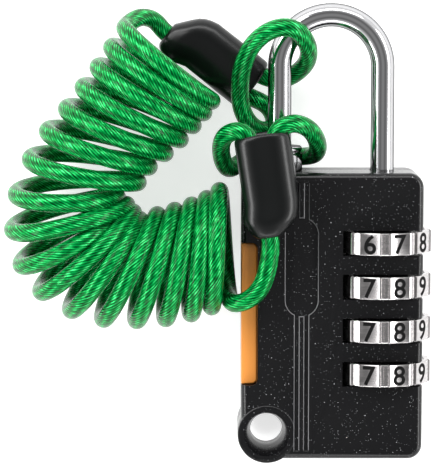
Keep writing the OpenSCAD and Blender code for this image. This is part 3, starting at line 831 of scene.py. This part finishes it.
def smooth(points, steps):
    """A curve through all the points."""
    p = np.asarray(points, float)
    p = np.vstack([2 * p[0] - p[1], p, 2 * p[-1] - p[-2]])
    s = np.linspace(0, 1, steps, endpoint=False)[:, None]
    out = []
    for a, b, c, d in zip(p, p[1:], p[2:], p[3:]):
        bend = s * (c - a) + s**2 * (2 * a - 5 * b + 4 * c - d) + s**3 * (3 * b - a - 3 * c + d)
        out.append(b + 0.5 * bend)
    return np.vstack(out + [p[-2:-1]])


def evenly(line, step):
    """The same line with points step apart."""
    run = np.r_[0, np.cumsum(np.linalg.norm(np.diff(line, axis=0), axis=1))]
    q = np.linspace(0, run[-1], int(run[-1] / step) + 1)
    return np.stack([np.interp(q, run, line[:, i]) for i in range(3)], axis=1)


def coil():
    """Turns round the coil's middle line; in the bend the inner tips step aside in turn for want of room."""
    c = smooth(COIL_LINE, 200)
    t = np.linspace(0, TURNS, TURNS * 120 + 1)
    q, share = t / TURNS, np.linspace(0, 1, len(c))
    u, v, a = (np.interp(q, share, w) for w in (c[:, 0], c[:, 1], np.radians(c[:, 2])))
    turn = 2 * np.pi * t
    e = -COIL_R * np.cos(turn)
    in_bend = np.clip((q - 0.35) / 0.08, 0, 1) * np.clip((0.7 - q) / 0.08, 0, 1)
    e += 1.2 * np.cos(np.pi * (t - 0.5)) * in_bend * (e / COIL_R + 1) / 2
    return np.c_[u + e * np.cos(a), v + e * np.sin(a), COIL_Z + COIL_R * np.sin(turn)]


def strand_end(which, side):
    """The cable's end inside its sleeve, from the cut end to the mouth."""
    spots = ((9.6, STRAND), (6, STRAND), (2.8, 1.75), (0.4, 2.15))
    return [in_sleeve(which, x, side * y) for x, y in spots]


def strand_tail(which, side):
    """The cable's way through the whole sleeve, from the mouth to the tip."""
    lean, off = SLEEVES[which]["lean"], STRAND * side
    spots = ((0.4, 2.15 * side), (2.8, 1.75 * side), (6, off), (10, off), (14, (off + lean) / 2))
    spots += ((SLEEVE_LEN, lean), (SLEEVE_LEN + 1, lean))
    return [in_sleeve(which, x, y) for x, y in spots]


def cable_path():
    """From the rear ferrule round the shackle, through the coil and round the leg to the front one."""
    turns = coil()
    rear = strand_end("rear", -1) + REAR_LOOP + strand_tail("rear", 1) + REAR_TAIL
    ahead = strand_end("front", 1) + FRONT_LOOP + strand_tail("front", -1) + FRONT_TAIL
    # a point inside the coil sets the direction in which each end meets it, and is dropped again
    rear = smooth(rear + [turns[0], turns[10]], SPREAD)[: -SPREAD - 1]
    ahead = smooth(ahead + [turns[-1], turns[-11]], SPREAD)[: -SPREAD - 1]
    path = evenly(np.vstack([rear, turns, ahead[::-1]]), 0.5)
    for _ in range(6):
        path[1:-1] = (path[:-2] + 2 * path[1:-1] + path[2:]) / 4
    return path


path = cable_path()
cable = tube("cable_look", path, CABLE_R, 24, [GREEN], uv=True)
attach(cable, "case")
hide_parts("cable_coil", "cable_front_end", "cable_rear_end")
sleeves = [sleeve("front"), sleeve("rear")]

# ---- hidden pieces: shapes from the frame, plain black ---------------------------------------------

HIDDEN = ["cover_rivets", "detent_leaf", "code_pins", "shackle_spring", "latch_plate", "bar_springs"]
HIDDEN += [f"hub_{k}" for k in DIAL_V] + ["ferrule_front", "ferrule_rear"]
for name in HIDDEN:
    repaint(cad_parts[name], INK)

# ---- setting --------------------------------------------------------------------------------------

# brightness of the sky by the height of its direction: bright low, dark above the lock's face
SKY = [(0.0, 1.0), (0.5, 1.0), (0.72, 0.5), (0.86, 0.2), (0.93, 0.15), (1.0, 0.3)]
SKY_STRENGTH = 1.35
# place, size and power of each lamp
LAMPS = {
    "key": ((-0.32, 0.36, 0.42), (0.30, 0.30), 1.3),
    "left": ((-0.46, 0.02, 0.27), (0.7, 0.12), 2.4),
    "right": ((0.46, 0.0, 0.25), (0.7, 0.12), 2.2),
    "top": ((-0.02, 0.5, 0.32), (0.7, 0.12), 1.8),
    "bottom": ((-0.02, -0.5, 0.30), (0.6, 0.12), 0.9),
}
LAMP_AIM = Vector((-0.02, 0, 0.01))
CAMERA_AT = Vector((-0.019595, 0.0468, 0.4273))
CAMERA_AIM = Vector((-0.020185, -0.00057, 0.010))
CAMERA_LENS = 186.7


def white_floor():
    """Large white sheet just under the lock."""
    half = 3
    sheet = bpy.data.meshes.new("floor")
    ring = [(-half, -half, 0), (half, -half, 0), (half, half, 0), (-half, half, 0)]
    sheet.from_pydata(ring, [], [(0, 1, 2, 3)])
    sheet.materials.append(floor_white())
    floor = bpy.data.objects.new("floor", sheet)
    bpy.context.scene.collection.objects.link(floor)
    floor.location.z = -0.02 * MM


def sky():
    """World light that depends on the height of its direction."""
    world = bpy.data.worlds.new("studio")
    bpy.context.scene.world = world
    world.use_nodes = True
    nodes, links = world.node_tree.nodes, world.node_tree.links
    direction = nodes.new("ShaderNodeTexCoord")
    split = nodes.new("ShaderNodeSeparateXYZ")
    shade = nodes.new("ShaderNodeValToRGB")
    ground = nodes["Background"]
    links.new(direction.outputs["Generated"], split.inputs[0])
    links.new(split.outputs[2], shade.inputs["Fac"])
    links.new(shade.outputs["Color"], ground.inputs["Color"])
    fill_ramp(shade.color_ramp, [(place, (value, value, value)) for place, value in SKY])
    ground.inputs["Strength"].default_value = SKY_STRENGTH


def lamp(name, at, size, power):
    """An area lamp that aims at the lock."""
    data = bpy.data.lights.new(name, "AREA")
    data.shape = "RECTANGLE"
    data.size, data.size_y = size
    data.energy = power
    ob = bpy.data.objects.new(name, data)
    bpy.context.scene.collection.objects.link(ob)
    ob.location = at
    ob.rotation_mode = "QUATERNION"
    ob.rotation_quaternion = (LAMP_AIM - Vector(at)).to_track_quat("-Z", "Y")


def camera():
    """Looks straight down past the lock's top end, with +Y up in the picture."""
    cam = bpy.data.cameras.new("camera")
    cam.sensor_width = 36
    cam.lens = CAMERA_LENS
    cam.clip_start, cam.clip_end = 0.01, 10
    eye = bpy.data.objects.new("camera", cam)
    bpy.context.scene.collection.objects.link(eye)
    eye.location = CAMERA_AT
    toward = (CAMERA_AT - CAMERA_AIM).normalized()
    right = Vector((0, 1, 0)).cross(toward).normalized()
    eye.rotation_mode = "QUATERNION"
    eye.rotation_quaternion = Matrix((right, toward.cross(right), toward)).transposed().to_quaternion()
    bpy.context.scene.camera = eye


white_floor()
sky()
for name, (at, size, power) in LAMPS.items():
    lamp(name, at, size, power)
camera()
bpy.context.scene.view_settings.view_transform = "Standard"
